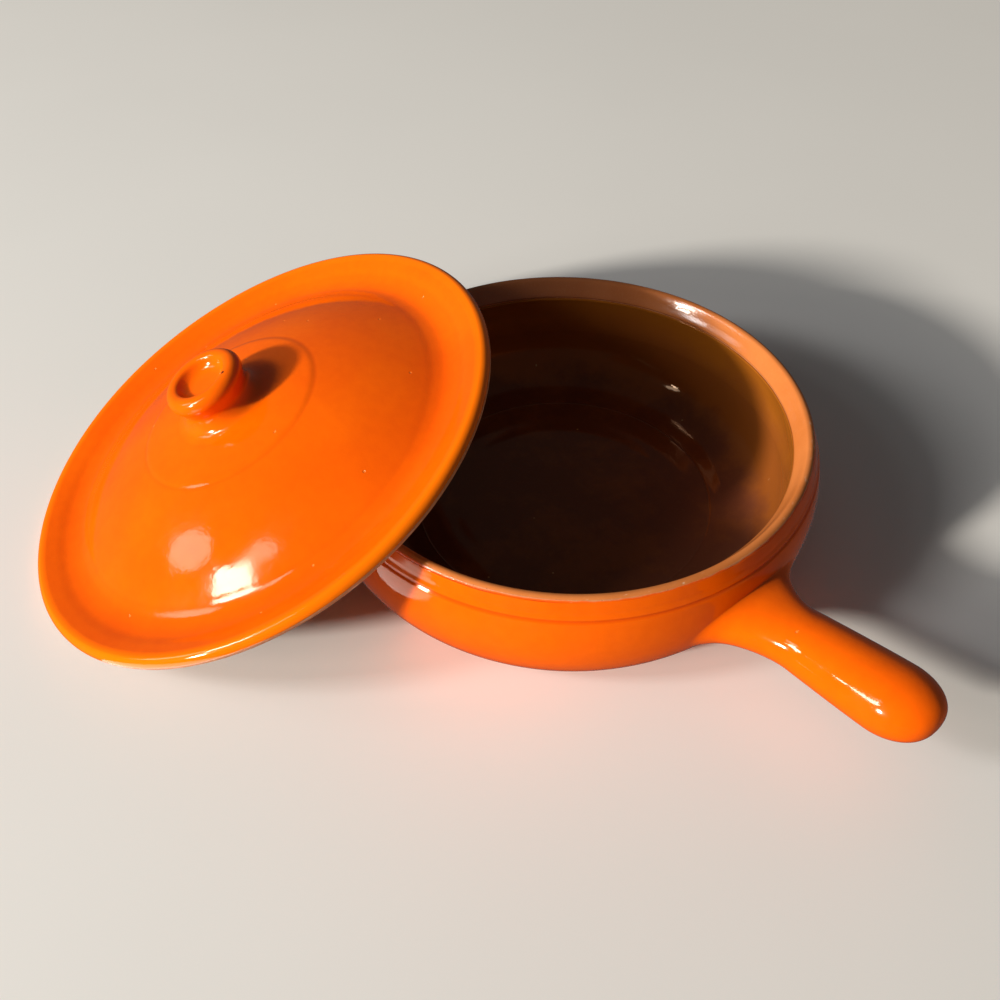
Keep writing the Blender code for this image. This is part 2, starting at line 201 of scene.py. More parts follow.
def turned(name, profile, finish, sides, shape, masks=None):
    """Turns a (radius, height) profile round Z; shape then marks it, and may add masks of its own.

    Ends that lie on the axis close to a point.
    """
    angle = np.linspace(0.0, math.tau, sides, endpoint=False)
    radius = np.repeat(profile[:, :1], sides, 1)
    height = np.repeat(profile[:, 1:], sides, 1)
    masks = {k: np.repeat(v[:, None], sides, 1) for k, v in (masks or {}).items()}
    radius, height = shape(radius, height, angle, masks)
    points = np.stack([radius * np.cos(angle), radius * np.sin(angle), height], 2)
    faces = grid_faces(len(profile), sides)
    flat = {k: v.ravel() for k, v in masks.items()}
    made = add_mesh(name, points.reshape(-1, 3), faces, flat, finish)
    weld(made)
    return made


def weld(obj):
    """Joins vertices that lie on one another, and points every face outwards."""
    form = bmesh.new()
    form.from_mesh(obj.data)
    bmesh.ops.remove_doubles(form, verts=form.verts, dist=2e-6)
    bmesh.ops.recalc_face_normals(form, faces=form.faces)
    form.to_mesh(obj.data)
    form.free()


def face_up(obj, up=1.0):
    """Turns an open coat's faces so that its glazed side looks up, or down with up = -1."""
    total = sum(p.normal.z * p.area for p in obj.data.polygons)
    if total * up < 0.0:
        obj.data.flip_normals()


def thicken(obj):
    """Gives an open coat its thickness, inwards from the glazed face."""
    modifier = obj.modifiers.new("coat", "SOLIDIFY")
    modifier.thickness = GLAZE * MM
    modifier.offset = -1.0
    return obj


# ---------------------------------------------------------------- materials

def node(tree, kind, inputs=None, **settings):
    """Adds a node; an input may be a number, a colour or another node's socket."""
    made = tree.nodes.new(kind)
    for key, value in settings.items():
        setattr(made, key, value)
    for key, value in (inputs or {}).items():
        if isinstance(value, bpy.types.NodeSocket):
            tree.links.new(value, made.inputs[key])
        else:
            made.inputs[key].default_value = value
    return made


def start_material(name, **constants):
    """A material with a Principled shader, its fixed values set on the shader itself."""
    made = bpy.data.materials.new(name)
    made.use_nodes = True
    shader = made.node_tree.nodes["Principled BSDF"]
    for key, value in constants.items():
        shader.inputs[key.replace("_", " ")].default_value = value
    return made, made.node_tree, shader


def noise(tree, place, scale, detail=3.0, roughness=0.5):
    """A cloudy value; scale is in features per metre."""
    inputs = {"Vector": place, "Scale": scale, "Detail": detail, "Roughness": roughness}
    return node(tree, "ShaderNodeTexNoise", inputs).outputs["Fac"]


def ramp(tree, value, low, high, start=0.0, end=1.0):
    """Maps a value from low..high to start..end, smoothly."""
    inputs = {"Value": value, "From Min": low, "From Max": high, "To Min": start, "To Max": end}
    made = node(tree, "ShaderNodeMapRange", inputs, interpolation_type="SMOOTHSTEP")
    return made.outputs["Result"]


def mix(tree, share, one, two):
    """Two colours mixed by a share."""
    made = node(tree, "ShaderNodeMix", data_type="RGBA")
    for socket, value in ((made.inputs[0], share), (made.inputs[6], one), (made.inputs[7], two)):
        if isinstance(value, bpy.types.NodeSocket):
            tree.links.new(value, socket)
        else:
            socket.default_value = value if isinstance(value, float) else (*value, 1.0)
    return made.outputs[2]


def maths(tree, operation, one, two):
    """One step of arithmetic."""
    return node(tree, "ShaderNodeMath", {0: one, 1: two}, operation=operation).outputs[0]


def times(tree, one, two):
    """Two values multiplied."""
    return maths(tree, "MULTIPLY", one, two)


def rest_of(tree, share):
    """What a share leaves of 1."""
    return maths(tree, "SUBTRACT", 1.0, share)


def mask(tree, label):
    """A mask stored on the vertices; it is 0 on a piece that has none of that name."""
    return node(tree, "ShaderNodeAttribute", attribute_name=label).outputs["Fac"]


def spots(tree, place, spacing, size, share):
    """Round spots on faces that look up: spacing and radius in metres, in a share of the cells."""
    inputs = {"Vector": place, "Scale": 1.0 / spacing}
    cells = node(tree, "ShaderNodeTexVoronoi", inputs, voronoi_dimensions="2D")
    near = ramp(tree, cells.outputs["Distance"], size / spacing, 0.5 * size / spacing)
    pick = node(tree, "ShaderNodeSeparateColor", {"Color": cells.outputs["Color"]}).outputs[0]
    chosen = ramp(tree, pick, share, share - 0.01)
    normal = node(tree, "ShaderNodeNewGeometry").outputs["Normal"]
    up = node(tree, "ShaderNodeSeparateXYZ", {0: normal}).outputs["Z"]
    level = ramp(tree, up, 0.45, 0.65)
    return times(tree, times(tree, near, chosen), level)


def bump(tree, height, strength, distance, below=None):
    """A normal from a height, on top of another bump if one is given."""
    inputs = {"Height": height, "Strength": strength, "Distance": distance}
    if below:
        inputs["Normal"] = below
    return node(tree, "ShaderNodeBump", inputs).outputs["Normal"]


def object_place(tree):
    """Position on the piece, in metres."""
    return node(tree, "ShaderNodeTexCoord").outputs["Object"]


def orange_glaze():
    """Opaque glossy orange, uneven in depth: darker where it pooled, more golden on the lid's lip."""
    tint = (1.0, 0.86, 0.70, 1.0)
    made, tree, shader = start_material("orange_glaze_look", IOR=1.52, Specular_Tint=tint)
    place = object_place(tree)
    broad = ramp(tree, noise(tree, place, 14.0), 0.35, 0.65)
    fine = ramp(tree, noise(tree, place, 210.0, 4.0), 0.3, 0.7)
    colour = mix(tree, broad, (0.84, 0.106, 0.0004), (0.89, 0.128, 0.0005))
    colour = mix(tree, times(tree, fine, 0.10), colour, (0.64, 0.046, 0.0010))
    colour = mix(tree, times(tree, mask(tree, "pool"), 0.55), colour, (0.55, 0.034, 0.0010))
    colour = mix(tree, times(tree, mask(tree, "lip"), 0.7), colour, (0.92, 0.190, 0.0004))
    specks = spots(tree, place, 0.030, 0.0010, 0.10)
    colour = mix(tree, specks, colour, (0.06, 0.012, 0.006))
    pinholes = spots(tree, place, 0.014, 0.0007, 0.10)
    colour = mix(tree, times(tree, pinholes, 0.5), colour, (0.90, 0.30, 0.06))
    tree.links.new(colour, shader.inputs["Base Color"])
    smears = ramp(tree, noise(tree, place, 46.0, 5.0, 0.65), 0.35, 0.75, 0.05, 0.16)
    tree.links.new(smears, shader.inputs["Roughness"])
    flow = bump(tree, noise(tree, place, 26.0, 1.5), 0.2, 0.0009)
    flow = bump(tree, noise(tree, place, 150.0, 2.0), 0.5, 0.00018, flow)
    flow = bump(tree, noise(tree, place, 900.0, 2.0), 0.5, 0.00003, flow)
    flow = bump(tree, rest_of(tree, pinholes), 0.6, 0.0003, flow)
    tree.links.new(flow, shader.inputs["Normal"])
    return made


def brown_glaze():
    """Glossy brown, coloured by its depth: nearly black on the floor, amber up the wall."""
    tint = (1.0, 0.66, 0.42, 1.0)
    made, tree, shader = start_material("brown_glaze_look", IOR=1.5, Specular_Tint=tint)
    place = object_place(tree)
    streaks = noise(tree, place, 34.0, 4.0, 0.6)
    thin = maths(tree, "ADD", mask(tree, "thin"), ramp(tree, streaks, 0.3, 0.7, -0.10, 0.10))
    colour = mix(tree, ramp(tree, thin, -0.05, 0.26), (0.135, 0.036, 0.015), (0.240, 0.066, 0.011))
    colour = mix(tree, ramp(tree, thin, 0.45, 1.0), colour, (0.300, 0.090, 0.008))
    grain = ramp(tree, noise(tree, place, 520.0, 2.0), 0.55, 0.75)
    colour = mix(tree, times(tree, grain, 0.12), colour, (0.22, 0.075, 0.03))
    nicks = spots(tree, place, 0.016, 0.0006, 0.10)
    colour = mix(tree, nicks, colour, (0.36, 0.18, 0.07))
    tree.links.new(colour, shader.inputs["Base Color"])
    worn = ramp(tree, noise(tree, place, 60.0, 5.0, 0.65), 0.4, 0.75, 0.05, 0.12)
    tree.links.new(worn, shader.inputs["Roughness"])
    flow = bump(tree, noise(tree, place, 30.0, 1.5), 0.5, 0.0008)
    flow = bump(tree, noise(tree, place, 170.0, 2.0), 0.35, 0.00012, flow)
    tree.links.new(flow, shader.inputs["Normal"])
    return made


def terracotta():
    """Fired clay: grainy and dull where bare, amber and glossy under a clear wash, pale at chips."""
    made, tree, shader = start_material("terracotta_look", IOR=1.5)
    place = object_place(tree)
    wash, over = mask(tree, "wash"), mask(tree, "over")
    blotch = ramp(tree, noise(tree, place, 38.0, 4.0), 0.3, 0.7)
    colour = mix(tree, blotch, (0.50, 0.170, 0.060), (0.62, 0.235, 0.090))
    grit = ramp(tree, noise(tree, place, 900.0, 2.0, 0.7), 0.52, 0.70)
    colour = mix(tree, times(tree, grit, 0.35), colour, (0.80, 0.42, 0.20))
    pits = spots(tree, place, 0.0042, 0.00035, 0.35)
    colour = mix(tree, times(tree, pits, 0.7), colour, (0.26, 0.075, 0.030))
    washed = mix(tree, blotch, (0.60, 0.172, 0.034), (0.68, 0.205, 0.046))
    # painted shade: the washed seat darkens towards the back
    washed = mix(tree, times(tree, mask(tree, "smoke"), 0.75), washed, (0.150, 0.042, 0.018))
    colour = mix(tree, times(tree, wash, 0.85), colour, washed)
    colour = mix(tree, over, colour, (0.84, 0.104, 0.002))
    # painted shade: a dark line under the seat's inner edge
    colour = mix(tree, mask(tree, "line"), colour, (0.055, 0.014, 0.008))
    colour = mix(tree, mask(tree, "chip"), colour, (0.80, 0.52, 0.34))
    tree.links.new(colour, shader.inputs["Base Color"])
    dull = ramp(tree, noise(tree, place, 240.0, 4.0), 0.3, 0.7, 0.62, 0.86)
    dull = times(tree, dull, rest_of(tree, times(tree, wash, 0.80)))
    dull = times(tree, dull, rest_of(tree, times(tree, over, 0.75)))
    tree.links.new(dull, shader.inputs["Roughness"])
    rough = rest_of(tree, times(tree, wash, 0.75))
    grain = times(tree, noise(tree, place, 700.0, 3.0, 0.6), rough)
    relief = bump(tree, grain, 0.5, 0.0004)
    relief = bump(tree, noise(tree, place, 60.0, 2.0), 0.25, 0.0003, relief)
    tree.links.new(relief, shader.inputs["Normal"])
    return made


# ---------------------------------------------------------------- pan

def wall_radius(height):
    """Outside radius of the pan at a height: bottom curve, belly, shoulder and rim band."""
    height = np.asarray(height, float)
    rise = np.clip(1.0 - height / BELLY_HEIGHT, 0.0, 1.0)
    low = BASE_RADIUS + (BELLY_RADIUS - BASE_RADIUS) * np.sqrt(1.0 - rise * rise)
    along = np.clip((height - BELLY_HEIGHT) / (SHOULDER_HEIGHT - BELLY_HEIGHT), 0.0, 1.0)
    middle = BELLY_RADIUS - (BELLY_RADIUS - SHOULDER_RADIUS) * along * along
    top = rim_edge()[0]
    share = (height - SHOULDER_HEIGHT) / (top[1] - SHOULDER_HEIGHT)
    band = SHOULDER_RADIUS + (top[0] - SHOULDER_RADIUS) * share
    lines = ((GROOVE_HEIGHT, GROOVE_DEPTH, GROOVE_HALF), (SECOND_LINE, SECOND_DEPTH, SECOND_HALF))
    for line, depth, half in lines:
        near = np.clip(np.abs(height - line) / half, 0.0, 1.0)
        band = band - depth * (0.5 + 0.5 * np.cos(math.pi * near))
    return np.where(height < BELLY_HEIGHT, low, np.where(height < SHOULDER_HEIGHT, middle, band))


def rim_edge():
    """The bare rounding of the rim, from the top of the orange coat up."""
    centre = (RIM_RADIUS - RIM_ROUND, PAN_HEIGHT - RIM_ROUND)
    return arc(centre, RIM_ROUND, RIM_BARE_ANGLE, 90.0, 12)


def wall_heights():
    """Heights of the rings up the glazed outside."""
    bottom = BELLY_HEIGHT * (1.0 - np.cos(np.radians(np.linspace(BARE_FOOT_ANGLE, 90.0, 37))))
    shoulder = np.linspace(BELLY_HEIGHT, SHOULDER_HEIGHT, 13)[1:]
    band = np.linspace(SHOULDER_HEIGHT, rim_edge()[0, 1] - 0.15, 50)[1:]
    return np.concatenate([bottom, shoulder, band])


def handle_half_width(x):
    """Half width of the handle without its flare."""
    start = HANDLE_WALL + 4.0
    along = np.clip((x - start) / (HANDLE_TIP - HANDLE_END_ROUND - start), 0.0, 1.0)
    return HANDLE_NECK + (HANDLE_GRIP - HANDLE_NECK) * (1.0 - (1.0 - along) ** HANDLE_SWELL)


def handle_point(x, side, tall, turn):
    """A point round the handle's axis, at a turn on an oval of those half axes."""
    axis = HANDLE_HEIGHT + HANDLE_RISE * (x - HANDLE_WALL)
    return np.array([x, side * math.cos(turn), axis + tall * math.sin(turn)])


def soft_max(one, two, width):
    """The larger of two, rounded where they are closer than a width."""
    if width <= 0.0:
        return max(one, two)
    close = max(width - abs(one - two), 0.0) / width
    return max(one, two) + close * close * width / 4


def handle_line(turn, corner):
    """One line from the edge of the handle's patch, along the wall, over the flare and to the tip."""
    to_plus_y = 0.5 + 0.5 * math.cos(turn)
    length = FLARE_LENGTH[1] + (FLARE_LENGTH[0] - FLARE_LENGTH[1]) * to_plus_y
    width = FLARE_WIDTH[1] + (FLARE_WIDTH[0] - FLARE_WIDTH[1]) * to_plus_y
    rise = FLARE_ABOVE if turn < math.pi else FLARE_BELOW
    neck = handle_half_width(HANDLE_WALL)
    start = HANDLE_WALL
    for _ in range(4):
        foot = handle_point(start, neck + width, neck * HANDLE_FLATNESS + rise, turn)
        start = math.sqrt(wall_radius(foot[2]) ** 2 - foot[1] ** 2)
    line = []
    foot_angle = math.atan2(foot[1], start)
    for share in np.linspace(0.0, 1.0, 8)[1:-1]:
        angle = corner[0] + (foot_angle - corner[0]) * share
        z = corner[1] + (foot[2] - corner[1]) * share
        radius = wall_radius(z)
        line.append((radius * math.cos(angle), radius * math.sin(angle), z))
    for bend in np.radians(np.linspace(0.0, 90.0, 34)):
        x = start - FLARE_SINK + length * (1.0 - math.cos(bend))
        spread = (1.0 - math.sin(bend)) ** FLARE_FULLNESS
        half = handle_half_width(x)
        tall = half * HANDLE_FLATNESS + rise * spread
        point = handle_point(x, half + width * spread, tall, turn)
        behind = math.sqrt(max(wall_radius(point[2]) ** 2 - point[1] ** 2, 0.0))
        softness = ROOT_BLEND * float(np.clip((math.degrees(bend) - 12.0) / 22.0, 0.0, 1.0))
        point[0] = soft_max(point[0], behind, softness)
        line.append(tuple(point))
    reach = start - FLARE_SINK + length
    for x in np.linspace(reach, HANDLE_TIP - HANDLE_END_ROUND, 20)[1:]:
        half = handle_half_width(x)
        line.append(tuple(handle_point(x, half, half * HANDLE_FLATNESS, turn)))
    for bend in np.radians(np.linspace(0.0, 88.0, 18)[1:]):
        half = HANDLE_GRIP * math.cos(bend) ** HANDLE_BLUNTNESS
        x = HANDLE_TIP - HANDLE_END_ROUND * (1.0 - math.sin(bend))
        line.append(tuple(handle_point(x, half, half * HANDLE_FLATNESS, turn)))
    return line


def pan_coat(finish):
    """The orange coat: rings round the wall, and a patch of lines that run out to the handle's tip."""
    heights = wall_heights()
    step = math.tau / PAN_SIDES
    columns = np.arange(PAN_SIDES)
    first, last = PATCH_COLUMNS
    low = int(np.searchsorted(heights, PATCH_HEIGHTS[0]))
    high = int(np.searchsorted(heights, PATCH_HEIGHTS[1])) - 1
    angle = columns * step
    lift = 0.35 * waver(angle, 3, 4, 40)
    sag = 0.9 * waver(angle, 5, 3, 24)
    points, index = [], {}
    for k, z in enumerate(heights):
        wave = lift * np.clip((z - COAT_TOP_FROM) / 2.0, 0.0, 1.0)
        wave = wave + sag * np.clip((COAT_FOOT_FROM - z) / 2.4, 0.0, 1.0)
        for i in columns:
            signed = i if i <= PAN_SIDES // 2 else i - PAN_SIDES
            if low < k < high and first < signed < last:
                continue
            here = z + wave[i]
            radius = float(wall_radius(here))
            index[k, i] = len(points)
            points.append((radius * math.cos(angle[i]), radius * math.sin(angle[i]), here))
    faces = []
    for k in range(len(heights) - 1):
        for i in columns:
            signed = i if i <= PAN_SIDES // 2 else i - PAN_SIDES
            if low <= k < high and first <= signed < last:
                continue
            j = (i + 1) % PAN_SIDES
            faces.append((index[k, i], index[k, j], index[k + 1, j], index[k + 1, i]))
    around = [(low, i) for i in range(first, last)] + [(k, last) for k in range(low, high)]
    around += [(high, i) for i in range(last, first, -1)] + [(k, first) for k in range(high, low, -1)]
    ring = [index[k, i % PAN_SIDES] for k, i in around]
    lines = []
    for k, i in around:
        corner = (i * step, heights[k])
        side = float(wall_radius(heights[k])) * math.sin(corner[0])
        tall = heights[k] - HANDLE_HEIGHT
        turn = math.atan2(tall / PATCH_OVAL[1], side / PATCH_OVAL[0]) % math.tau
        lines.append(handle_line(turn, corner))
    for k in range(len(lines[0])):
        start = len(points)
        points.extend(line[k] for line in lines)
        here = list(range(start, len(points)))
        for a, b, c, d in zip(ring, ring[1:] + ring[:1], here[1:] + here[:1], here):
            faces.append((a, b, c, d))
        ring = here
    tip = len(points)
    points.append(tuple(handle_point(HANDLE_TIP, 0.0, 0.0, 0.0)))
    faces += [(a, b, tip) for a, b in zip(ring, ring[1:] + ring[:1])]
    points = np.array(points)
    groove = np.clip(1.0 - np.abs(points[:, 2] - GROOVE_HEIGHT) / GROOVE_HALF, 0.0, 1.0)
    on_wall = np.hypot(points[:, 0], points[:, 1]) < BELLY_RADIUS
    made = add_mesh("pan_glaze", points, faces, {"pool": groove * on_wall}, finish)
    weld(made)
    return thicken(made)


def seat_line():
    """The rim's top and its slanted seat, going inwards."""
    edge, inner = RIM_RADIUS - RIM_ROUND, PAN_HEIGHT - SEAT_DROP
    points = [(edge, PAN_HEIGHT), (edge - 1.2, PAN_HEIGHT - 0.35), (104.4, 56.9),
              (SEAT_RADIUS + 0.5, inner + 0.6), (SEAT_RADIUS, inner - 0.4)]
    return through(points, 0.35)


def cavity_line():
    """The glazed inside: wall, corner and floor, going down and in to the axis."""
    points = [(SEAT_RADIUS - 0.2, 52.3), (103.1, 47.2), (WALL_INSIDE, 41.1), (103.0, 36.0)]
    wall = through(points, 1.0)
    centre = (WALL_FOOT_RADIUS - FLOOR_ROUND, FLOOR_HEIGHT + FLOOR_ROUND)
    corner = arc(centre, FLOOR_ROUND, 4.0, -88.0, 34)
    edge, outer, inner = 75.0, FLOOR_RING + 1.2, FLOOR_RING - 1.2
    radii = np.concatenate([np.arange(edge, outer, -0.8), np.arange(outer, inner, -0.15),
                            np.linspace(inner, 0.0, 58)])
    floor = np.stack([radii, FLOOR_HEIGHT - 0.02 - 0.38 * (1.0 - radii / edge)], 1)
    return np.vstack([wall, corner[1:], floor])


def rim_marks(radius, height, angle, masks):
    """The rim's chips and the ragged end of its glaze, painted shade on the seat at the back, and a
    slight waver.
    """
    degrees = np.degrees(np.arctan2(np.sin(angle), np.cos(angle)))
    wear = 0.10
    for place, half, amount in RIM_WEAR:
        wear = wear + amount * np.exp(-((degrees - place) / half) ** 2)
    along_edge = np.exp(-((radius - CHIP_RADIUS) / CHIP_HALF) ** 2) * (height > 59.7)
    field = speckle(radius.shape, 11, 1)
    chip = np.clip((field - (0.86 - 0.22 * wear)) * 9.0, 0.0, 1.0) * along_edge
    masks["chip"] = np.clip(chip, 0.0, 1.0)
    # painted shade on the washed seat, darkest about one angle at the back
    from_seat_shade = (degrees - SEAT_SHADE_ANGLE + 180.0) % 360.0 - 180.0
    masks["smoke"] = np.broadcast_to(np.exp(-(from_seat_shade / SEAT_SHADE_HALF) ** 2), radius.shape)
    ragged = 0.55 * waver(angle, 17, 5, 70) + 1.6 * (speckle(radius.shape, 19, 3) - 0.5)
    edge = RIM_RADIUS - 0.75 + 0.35 * ragged
    over = np.clip((radius - edge) / 0.35, 0.0, 1.0) * (height > 58.5) * (radius > 107.0)
    masks["over"] = over * (1.0 - masks["chip"])
    bruise = chip * 0.12
    upper = np.clip((height - 50.0) / 8.0, 0.0, 1.0) * (radius > 100.0)
    height = height + upper * 0.22 * waver(angle, 21, 2, 6) - bruise * 0.5
    return radius - bruise, height


def bowl_clay(finish):
    """The thrown bowl: bare foot, body under the coats, rounded rim and slanted seat."""
    foot_angles = np.radians(np.linspace(0.0, BARE_FOOT_ANGLE + 2.0, 10))
    foot = np.stack([BASE_RADIUS + (BELLY_RADIUS - BASE_RADIUS) * np.sin(foot_angles),
                     BELLY_HEIGHT * (1.0 - np.cos(foot_angles))], 1)
    base = np.stack([np.linspace(0.0, BASE_RADIUS - 1.5, 24), np.zeros(24)], 1)
    base = np.vstack([base, [(BASE_RADIUS - 0.4, 0.08)]])
    rings = wall_heights()[3:]
    outside = inset(np.stack([wall_radius(rings), rings], 1), GLAZE + CLAY_GAP)[1:-2:2]
    edge, seat = rim_edge(), seat_line()
    inside = inset(cavity_line(), GLAZE + CLAY_GAP)[2::2]
    inside[-1] = (0.0, inside[-1][1])
    ledge = np.array([(edge[0, 0] - 0.7, edge[0, 1] - 0.5)])
    under = np.array([(SEAT_RADIUS + 0.25, PAN_HEIGHT - SEAT_DROP - 1.0)])
    profile = np.vstack([base, foot[1:], outside, ledge, edge, seat[1:], under, inside])
    radii, heights = profile[:, 0], profile[:, 1]
    upper = (heights > WASH_FROM) & (radii < WASH_RADII[1]) & (radii > WASH_RADII[0])
    wash = np.where(upper, 1.0, 0.0)
    # painted shade: a dark line under the seat's inner edge
    line = 0.4 * np.exp(-((heights - SEAT_EDGE_SHADE_HEIGHT) / SEAT_EDGE_SHADE_HALF) ** 2) * (radii < WALL_INSIDE)
    masks = {"wash": wash, "line": line}
    return turned("bowl_clay", profile, finish, RIM_SIDES, rim_marks, masks)


def turning_rings(radius, height, angle, masks):
    """Faint rings and unevenness that the potter's fingers left on the floor and wall."""
    rings = 0.05 * np.sin(radius * 0.55) * np.clip(radius / 20.0, 0.0, 1.0)
    rings += 0.16 * np.exp(-((radius - FLOOR_RING) / 0.4) ** 2)
    uneven = 0.12 * waver(angle, 31, 2, 5)
    on_floor = np.clip((24.0 - height) / 14.0, 0.0, 1.0)
    wide = np.clip(radius / 60.0, 0.0, 1.0)
    radius = radius - 0.10 * waver(angle, 33, 3, 7) * (1.0 - on_floor) * wide
    return radius, height + (rings + uneven * wide) * on_floor


def bowl_glaze_inside(finish):
    """The brown coat, thinner up the wall."""
    profile = cavity_line()[::-1]
    thin = np.clip((profile[:, 1] - FLOOR_HEIGHT) / 44.0, 0.0, 1.0)
    made = turned("bowl_glaze_inside", profile, finish, PAN_SIDES, turning_rings, {"thin": thin})
    face_up(made)
    return thicken(made)


# ---------------------------------------------------------------- lid

def dome_height(radius, thickness=0.0):
    """Height of the dome's face, or of the surface that lies that much below it."""
    return DOME_CENTRE + np.sqrt((DOME_CURVE - thickness) ** 2 - np.asarray(radius, float) ** 2)


def lid_top_line():
    """Glazed top going in: lip, flange channel, dome, turned step, knob and its dished top."""
    lip = arc((LID_RADIUS - LIP_ROUND, 0.0), LIP_ROUND, 0.0, 84.0, 16)
    channel = [(113.6, 3.1), (109.0, 1.35), (104.5, -0.5), (100.0, -1.4), (96.2, -1.3), (92.2, 0.05)]
    dome_radii = [88.3, 83.0, 78.0, 70.0, 62.0, 54.0, 46.5]
    dome = [(r, float(dome_height(r))) for r in dome_radii]
    step = [(STEP_RADIUS + 1.0, float(dome_height(STEP_RADIUS + 1.0)) + 0.03),
            (STEP_RADIUS - 0.9, float(dome_height(STEP_RADIUS - 0.9)) + STEP_RISE)]
    lifts = ((38.0, 0.30), (32.0, 0.22), (26.0, 0.22), (22.6, 0.24))
    crown = [(r, float(dome_height(r)) + lift) for r, lift in lifts]
    foot = float(dome_height(KNOB_FOOT)) + 0.3
    knob = [(KNOB_FOOT - 1.0, foot + 0.75), (KNOB_FOOT - 2.8, foot + 2.4),
            (KNOB_WAIST + 0.1, foot + 5.2), (KNOB_WAIST - 0.1, foot + 7.2),
            (KNOB_WAIST + 0.7, foot + 9.4)]
    disc = arc((KNOB_RADIUS - KNOB_ROLL, KNOB_TOP - KNOB_ROLL), KNOB_ROLL, -30.0, 120.0, 8)
    dish = [(10.5, DISH_FLOOR + 2.3), (9.0, DISH_FLOOR + 0.95),
            (7.0, DISH_FLOOR + 0.22), (3.0, DISH_FLOOR)]
    rest = through(channel + dome + step + crown + knob + disc.tolist() + dish, 0.55)
    return np.vstack([lip, rest, [(0.0, DISH_FLOOR)]])


def lid_edge_line():
    """Bare clay going out: over the locating ring and up under the lip."""
    start = (UNDERGLAZE_EDGE, float(dome_height(91.0, LID_WALL)) - 0.4)
    points = [start, (92.6, -8.0), (95.6, -10.75), (RING_RADIUS, -RING_DROP + 0.02),
              (101.0, -10.4), (104.6, -7.4), (109.0, -4.4), (112.5, -3.35)]
    ring = through(points, 0.6)
    lip = arc((LID_RADIUS - LIP_ROUND, 0.0), LIP_ROUND, -78.0, -3.0, 14)
    return np.vstack([ring, lip])


def lid_waver(radius, height, angle, masks):
    """The lid isn't perfectly flat or round."""
    out = np.clip((radius - 60.0) / 50.0, 0.0, 1.0)
    radius = radius + 0.12 * out * waver(angle, 41, 2, 4)
    return radius, height + 0.16 * out * waver(angle, 43, 2, 5)


def lid_edge_marks(radius, height, angle, masks):
    """The lid's waver, and chips along the lower edge of its lip."""
    radius, height = lid_waver(radius, height, angle, masks)
    field = speckle(radius.shape, 13, 2)
    along_edge = np.exp(-((radius - LIP_CHIP_RADIUS) / LIP_CHIP_HALF) ** 2) * (height < -0.5)
    masks["chip"] = np.clip((field - 0.68) * 8.0, 0.0, 1.0) * along_edge
    return radius - masks["chip"] * 0.25, height


def lid_place():
    """World matrix of the lid: leaning over the rim, with its lowest edge just off the table."""
    lean = Matrix.Rotation(math.radians(LID_LEAN_DIRECTION), 4, "Z")
    tilt = Matrix.Rotation(math.radians(LID_TILT), 4, "Y")
    drop = (LID_RADIUS - LIP_ROUND) * math.sin(math.radians(LID_TILT)) + LIP_ROUND
    direction = math.radians(LID_DIRECTION)
    x, y = LID_DISTANCE * math.cos(direction), LID_DISTANCE * math.sin(direction)
    centre = Vector((x, y, drop + LID_GROUND_CLEARANCE)) * MM
    return Matrix.Translation(centre) @ lean @ tilt @ lean.inverted()


def lid_glaze(finish):
    """The orange coat over the lid's top and the knob."""
    profile = lid_top_line()
    pool = hollow_of(profile) * (profile[:, 0] > 24.0)
    lip = np.clip((profile[:, 0] - 112.5) / 4.0, 0.0, 1.0)
    masks = {"pool": pool, "lip": lip}
    made = turned("lid_glaze", profile, finish, LID_SIDES, lid_waver, masks)
    face_up(made)
    return thicken(made)


def lid_glaze_under(finish):
    """The brown coat under the dome."""
    radii = np.linspace(0.0, UNDERGLAZE_EDGE, 60)
    profile = np.stack([radii, dome_height(radii, LID_WALL)], 1)
    thin = 0.25 + 0.5 * radii / UNDERGLAZE_EDGE
    made = turned("lid_glaze_under", profile, finish, LID_SIDES, lid_waver, {"thin": thin})
    face_up(made, -1.0)
    return thicken(made)


def lid_clay(finish):
    """The thrown lid: body between the coats, with its bare rim and locating ring."""
    radii = np.linspace(0.0, UNDERGLAZE_EDGE, 40)
    under = np.stack([radii, dome_height(radii, LID_WALL - GLAZE - CLAY_GAP)], 1)[:-1]
    top = inset(lid_top_line(), GLAZE + CLAY_GAP)
    top = top[top[:, 0] > KNOB_FOOT + 1.0][2::2]
    crown_radii = np.array([19.0, 12.0, 5.0, 0.0])
    crown = np.stack([crown_radii, dome_height(crown_radii, GLAZE + CLAY_GAP)], 1)
    profile = np.vstack([under, lid_edge_line(), top, crown])
    return turned("lid_clay", profile, finish, LID_CLAY_SIDES, lid_edge_marks)


# ---------------------------------------------------------------- the object

orange, brown, clay = orange_glaze(), brown_glaze(), terracotta()

pan_pieces = [
    (pan_coat(orange), "pan_outer_glaze", "orange_glaze"),
    (bowl_clay(clay), "bowl", "terracotta"),
    (bowl_glaze_inside(brown), "bowl_inner_glaze", "brown_glaze"),
]
lid_pieces = [
    (lid_glaze(orange), "lid_top_glaze", "orange_glaze"),
    (lid_clay(clay), "lid", "terracotta"),
    (lid_glaze_under(brown), "lid_under_glaze", "brown_glaze"),
]
leaning = lid_place()
for piece, _, _ in lid_pieces:
    piece.data.transform(leaning)
for body, pieces in (("pan", pan_pieces), ("lid", lid_pieces)):
    for piece, cad_node, slot_name in pieces:
        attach(piece, body)
        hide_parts(cad_node)
for core in ("handle", "knob"):
    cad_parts[core].data.materials.clear()
    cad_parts[core].data.materials.append(clay)


# ---------------------------------------------------------------- studio

